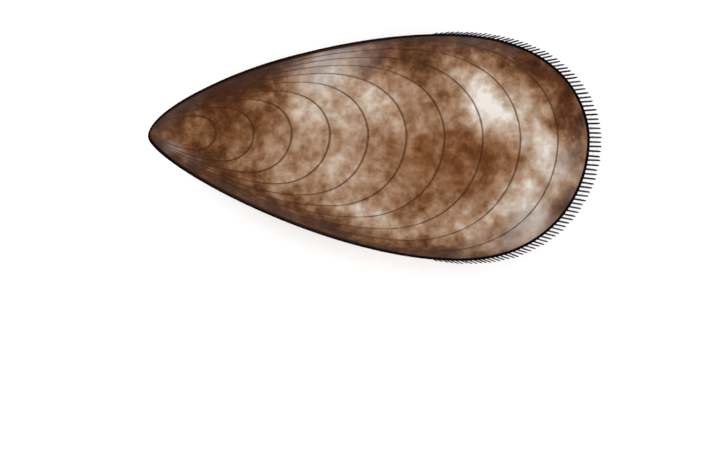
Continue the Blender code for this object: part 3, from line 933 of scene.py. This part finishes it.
def make_skin(name, seed):
    """Skin over chalk: growth steps since the first line = (age - first line) / step; room goes from a
    half where lines crowd to 1 where they are apart, and it also thins the layers' bump."""
    material, tree, mm = new_material(name)
    fields = {field: add(tree, "Attribute", attribute_name=field).outputs["Fac"] for field in FIELDS}
    phase = add(tree, "Math", {0: fields["age"], 1: 1 / LINE_STEP, 2: -FIRST_LINE / LINE_STEP},
                operation="MULTIPLY_ADD")
    spacing = add(tree, "Math", {0: fields["reach"], 1: LINE_STEP}, operation="MULTIPLY")
    room = add(tree, "MapRange", {"Value": spacing, FROM: (CROWDED, FULL_SPACING_MM), TO: (0.5, 1.0)})
    tone = skin_tone(tree, mm, fields, phase, seed)
    layers = skin_layers(tree, fields, phase)
    colour = skin_colour(tree, mm, fields, tone, layers)
    colour = paint_lines(tree, fields, phase, spacing, room, colour)
    rough = add(tree, "MapRange", {"Value": tone, FROM: (0.1, 0.9), TO: ROUGHNESS})
    pores = add(tree, "TexNoise", {"Vector": mm, "Scale": 1 / PORE_MM, "Detail": 4.0})
    scales = add(tree, "Math", {0: layers, 1: room}, operation="MULTIPLY")
    height = add(tree, "Math", {0: scales, 1: pores}, operation="ADD")
    bump = add(tree, "Bump", {"Height": height, "Strength": 0.6, "Distance": 0.05 * MM})
    return coat(material, {"Base Color": paint_edge(tree, fields, colour), "Roughness": rough,
                           "Normal": bump, "IOR": HORN_IOR, "Specular IOR Level": SILTED_GLOSS})


# %% [markdown]
# ### The rolled edge
#
# Where the skin rolls over the margin it is black horn in thin layers, browner further up the side,
# too rough and silted for any gloss. A plain black would look like a gap from the side.

# %% The rolled edge's material
HORN_LAYER_MM = 0.35
HORN_LAYER_LENGTH_MM = 8.0
HORN_CONTRAST = 0.8
HORN_STOPS = ((0.40, EDGE_COLOUR), (0.80, "#170F0B"), (1.0, "#2B1B12"))
BROWNER_MM = (0.8, 4.0)


def make_edge_horn(name):
    """Ramp by layered noise x contrast + distance up the side, with the layers as bump."""
    material, tree, _ = new_material(name)
    skin = add(tree, "Attribute", attribute_name="skin").outputs["Fac"]
    along = add(tree, "Attribute", attribute_name="along").outputs["Fac"]
    layer = add(tree, "Math", {0: skin, 1: 1 / HORN_LAYER_MM}, operation="MULTIPLY")
    slow = add(tree, "Math", {0: along, 1: 1 / HORN_LAYER_LENGTH_MM}, operation="MULTIPLY")
    layers = add(tree, "CombineXYZ", {"X": layer, "Y": slow})
    silt = add(tree, "TexNoise", {"Vector": layers, "Scale": 1.0, "Detail": 3.0})
    up = add(tree, "MapRange", {"Value": skin, FROM: BROWNER_MM})
    shade = add(tree, "Math", {0: silt, 1: HORN_CONTRAST, 2: up}, operation="MULTIPLY_ADD")
    colour = add(tree, "ValToRGB", {"Fac": shade}, HORN_STOPS)
    bump = add(tree, "Bump", {"Height": silt, "Strength": 0.8, "Distance": 0.10 * MM})
    return coat(material, {"Base Color": colour, "Roughness": 0.95, "Normal": bump,
                           "IOR": HORN_IOR, "Specular IOR Level": 0.0})


# %% [markdown]
# ### Mother-of-pearl
#
# The inside is nacre: thin plates of aragonite laid flat on each other, milky blue-white with a
# violet cast, dark blue at its edge, and smooth to the touch. The shell is shut, so it only shows
# when the valves are taken apart.

# %% The inside's material
NACRE_STOPS = ((0.25, "#8F98AE"), (0.5, "#C9CDD9"), (0.75, "#E8E6E4"))
NACRE_EDGE_COLOUR = "#1B1D2B"
NACRE_EDGE = (0.93, 0.99)
NACRE_CLOUD_MM = 12.0
ARAGONITE_IOR = 1.6


def make_nacre(name):
    """Ramp by one broad cloud, mixed to dark blue by age near the edge."""
    material, tree, mm = new_material(name)
    age = add(tree, "Attribute", attribute_name="age").outputs["Fac"]
    cloud = add(tree, "TexNoise", {"Vector": mm, "Scale": 1 / NACRE_CLOUD_MM, "Detail": 4.0})
    colour = add(tree, "ValToRGB", {"Fac": cloud}, NACRE_STOPS)
    edge = add(tree, "MapRange", {"Value": age, FROM: NACRE_EDGE})
    colour = add(tree, "Mix", {0: edge, MIX_A: colour, MIX_B: linear(NACRE_EDGE_COLOUR)},
                 data_type="RGBA").outputs[MIXED]
    return coat(material, {"Base Color": colour, "Roughness": 0.22, "IOR": ARAGONITE_IOR})


# %% [markdown]
# ### Horn of the ligament and of the bristles
#
# Both are tanned protein with no chalk in it. The ligament is dark brown and layered lengthwise.
# The bristles are blue-black, dull with fine silt, and each one has its own depth of colour.

# %% The ligament's and the bristles' materials
LIGAMENT_BANDS_PER_MM = (0.25, 0.8, 6.0)
LIGAMENT_STOPS = ((0.3, "#0B0705"), (0.6, "#1D130B"), (0.8, "#332113"))
SILT_MM = 0.6
HAIR_CONTRAST = 0.35
BRISTLE_STOPS = ((0.3, "#0E0E15"), (0.6, "#23252F"), (1.0, "#565A66"))


def make_ligament_horn(name):
    """Ramp by noise drawn out along the strip, with the same bands as bump."""
    material, tree, mm = new_material(name)
    layers = add(tree, "Mapping", {"Vector": mm, "Scale": LIGAMENT_BANDS_PER_MM})
    bands = add(tree, "TexNoise", {"Vector": layers, "Scale": 1.0, "Detail": 4.0})
    colour = add(tree, "ValToRGB", {"Fac": bands}, LIGAMENT_STOPS)
    bump = add(tree, "Bump", {"Height": bands, "Strength": 0.5, "Distance": 0.05 * MM})
    return coat(material, {"Base Color": colour, "Roughness": 0.6, "Normal": bump,
                           "IOR": HORN_IOR, "Specular IOR Level": 2 * SILTED_GLOSS})


def make_bristle_horn(name):
    """Ramp by silt + each hair's own shade x contrast."""
    material, tree, mm = new_material(name)
    shade = add(tree, "Attribute", attribute_name="shade").outputs["Fac"]
    silt = add(tree, "TexNoise", {"Vector": mm, "Scale": 1 / SILT_MM, "Detail": 3.0})
    depth = add(tree, "Math", {0: shade, 1: HAIR_CONTRAST, 2: silt}, operation="MULTIPLY_ADD")
    colour = add(tree, "ValToRGB", {"Fac": depth}, BRISTLE_STOPS)
    return coat(material, {"Base Color": colour, "Roughness": 0.6, "IOR": HORN_IOR,
                           "Specular IOR Level": SILTED_GLOSS})


# %% Dress the pieces and hand them to the frame
nacre = make_nacre("nacre_polished_by_the_mantle")
edge_horn = make_edge_horn("edge_horn_rolled_and_silted")
for valve, seed in ((left_valve, LEFT_SEED), (right_valve, RIGHT_SEED)):
    # The skin's material paints shade along the flanks as well as wear.
    valve.data.materials.append(make_skin(f"periostracum_worn_and_shaded_{seed}", seed))
    valve.data.materials.append(nacre)
    valve.data.materials.append(edge_horn)
ligament.data.materials.append(make_ligament_horn("ligament_horn_layered"))
bristle_horn = make_bristle_horn("bristle_horn_silted")
for fringe in (left_bristles, right_bristles):
    fringe.data.materials.append(bristle_horn)

for piece, node, slot in (
    (left_valve, "left_valve", "valve"),
    (right_valve, "right_valve", "valve"),
    (ligament, "ligament", "ligament"),
    (left_bristles, "left_bristles", "bristle"),
    (right_bristles, "right_bristles", "bristle"),
):
    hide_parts(node)
    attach(piece, "root")
print("five pieces ride on the root body")

# %% [markdown]
# ## Ground, light and camera
#
# A drawing like this is lit from everywhere, so the studio is a wide pale floor under a bright even
# sky, with one large soft lamp to give the dome its shape. The floor glows a little, so that it
# stays white right up to the shell. The camera looks straight down through a long lens, far enough
# away that the old growth lines, which stand higher, don't spread.

# %% The floor
FLOOR_HALF = 3.0
FLOOR_GLOW = 0.12
FLOOR_CORNERS = ((-1, -1), (1, -1), (1, 1), (-1, 1))
floor_mesh = bpy.data.meshes.new("studio_floor")
floor_mesh.from_pydata(
    [(x * FLOOR_HALF, y * FLOOR_HALF, 0.0) for x, y in FLOOR_CORNERS], [], [(0, 1, 2, 3)])
floor = bpy.data.objects.new("studio_floor", floor_mesh)
bpy.context.scene.collection.objects.link(floor)
floor_paint, _, _ = new_material("studio_floor_matt_white")
floor_mesh.materials.append(coat(floor_paint, {
    "Base Color": linear("#FBFBFB"), "Roughness": 0.9, "Emission Color": (1.0, 1.0, 1.0, 1.0),
    "Emission Strength": FLOOR_GLOW}))
print(f"floor {2 * FLOOR_HALF:.0f} m square, level with the shell's lowest point")

# %% Sky and lamp
SKY_STRENGTH = 1.28
LAMP_POWER = 1.8
LAMP_SIZE = 0.9
LAMP_PLACE = (-0.30, 0.40, 1.0)
world = bpy.data.worlds.new("even_sky")
world.use_nodes = True
world.node_tree.nodes["Background"].inputs["Color"].default_value = (1.0, 1.0, 1.0, 1.0)
world.node_tree.nodes["Background"].inputs["Strength"].default_value = SKY_STRENGTH
bpy.context.scene.world = world
lamp_data = bpy.data.lights.new("soft_lamp", "AREA")
lamp_data.energy, lamp_data.size = LAMP_POWER, LAMP_SIZE
lamp = bpy.data.objects.new("soft_lamp", lamp_data)
lamp.location = LAMP_PLACE
lamp.rotation_euler = (-lamp.location).to_track_quat("-Z", "Y").to_euler()
bpy.context.scene.collection.objects.link(lamp)
bpy.context.scene.view_settings.view_transform = "Standard"
print(f"sky at {SKY_STRENGTH}, and a lamp of {LAMP_POWER} W, {lamp.location.length:.2f} m away")

# %% The camera, placed by the photograph's frame
PHOTO_WIDTH, PHOTO_HEIGHT = 720, 450
APEX_PIXEL = (150.8, 130.6)
OUTLINE_LEFT_PIXEL, OUTLINE_RIGHT_PIXEL = 147.9, 589.7
LENS_MM = 400.0
SENSOR_MM = 36.0

mm_per_pixel = (POSTERIOR_END[0] - UMBO_TIP[0]) / (OUTLINE_RIGHT_PIXEL - OUTLINE_LEFT_PIXEL)
frame_centre = APEX + MM * mm_per_pixel * np.array([
    PHOTO_WIDTH / 2 - APEX_PIXEL[0], APEX_PIXEL[1] - PHOTO_HEIGHT / 2, 0])
height = LENS_MM / SENSOR_MM * PHOTO_WIDTH * mm_per_pixel * MM
camera_data = bpy.data.cameras.new("camera")
camera_data.lens, camera_data.sensor_width = LENS_MM, SENSOR_MM
camera = bpy.data.objects.new("camera", camera_data)
camera.location = frame_centre + [0, 0, height]
bpy.context.scene.collection.objects.link(camera)
bpy.context.scene.camera = camera
print(f"camera {height:.2f} m above the seam, {mm_per_pixel:.4f} mm a pixel")
